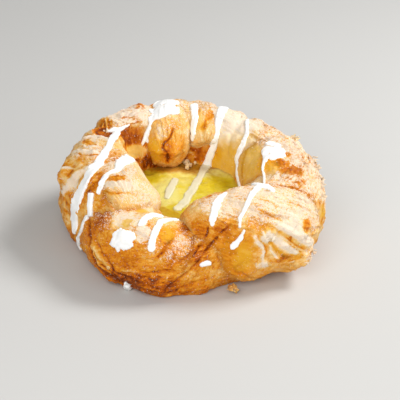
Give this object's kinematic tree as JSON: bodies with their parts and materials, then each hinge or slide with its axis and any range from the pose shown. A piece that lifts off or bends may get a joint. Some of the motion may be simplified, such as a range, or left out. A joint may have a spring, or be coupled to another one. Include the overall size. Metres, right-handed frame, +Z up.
{
  "type": "danish pastry",
  "caption": "Round danish pastry: a browned ring of folded, laminated dough round a glossy custard filling, baked as a single serving.",
  "frame": {"origin": "middle of the flat underside", "axes": "+Z up from the table, -Y towards the low front of the ring where its two ends meet, +X to the right seen from the front"},
  "size_m": [0.1168, 0.1075, 0.0478],
  "materials": {
    "dough": "baked, browned flaky dough, dusted with icing sugar",
    "custard": "smooth set custard with a soft gloss",
    "icing": "set white icing drizzle"
  },
  "bodies": {
    "root": {"dough": "dough", "custard_filling": "custard"}
  },
  "joints": []
}
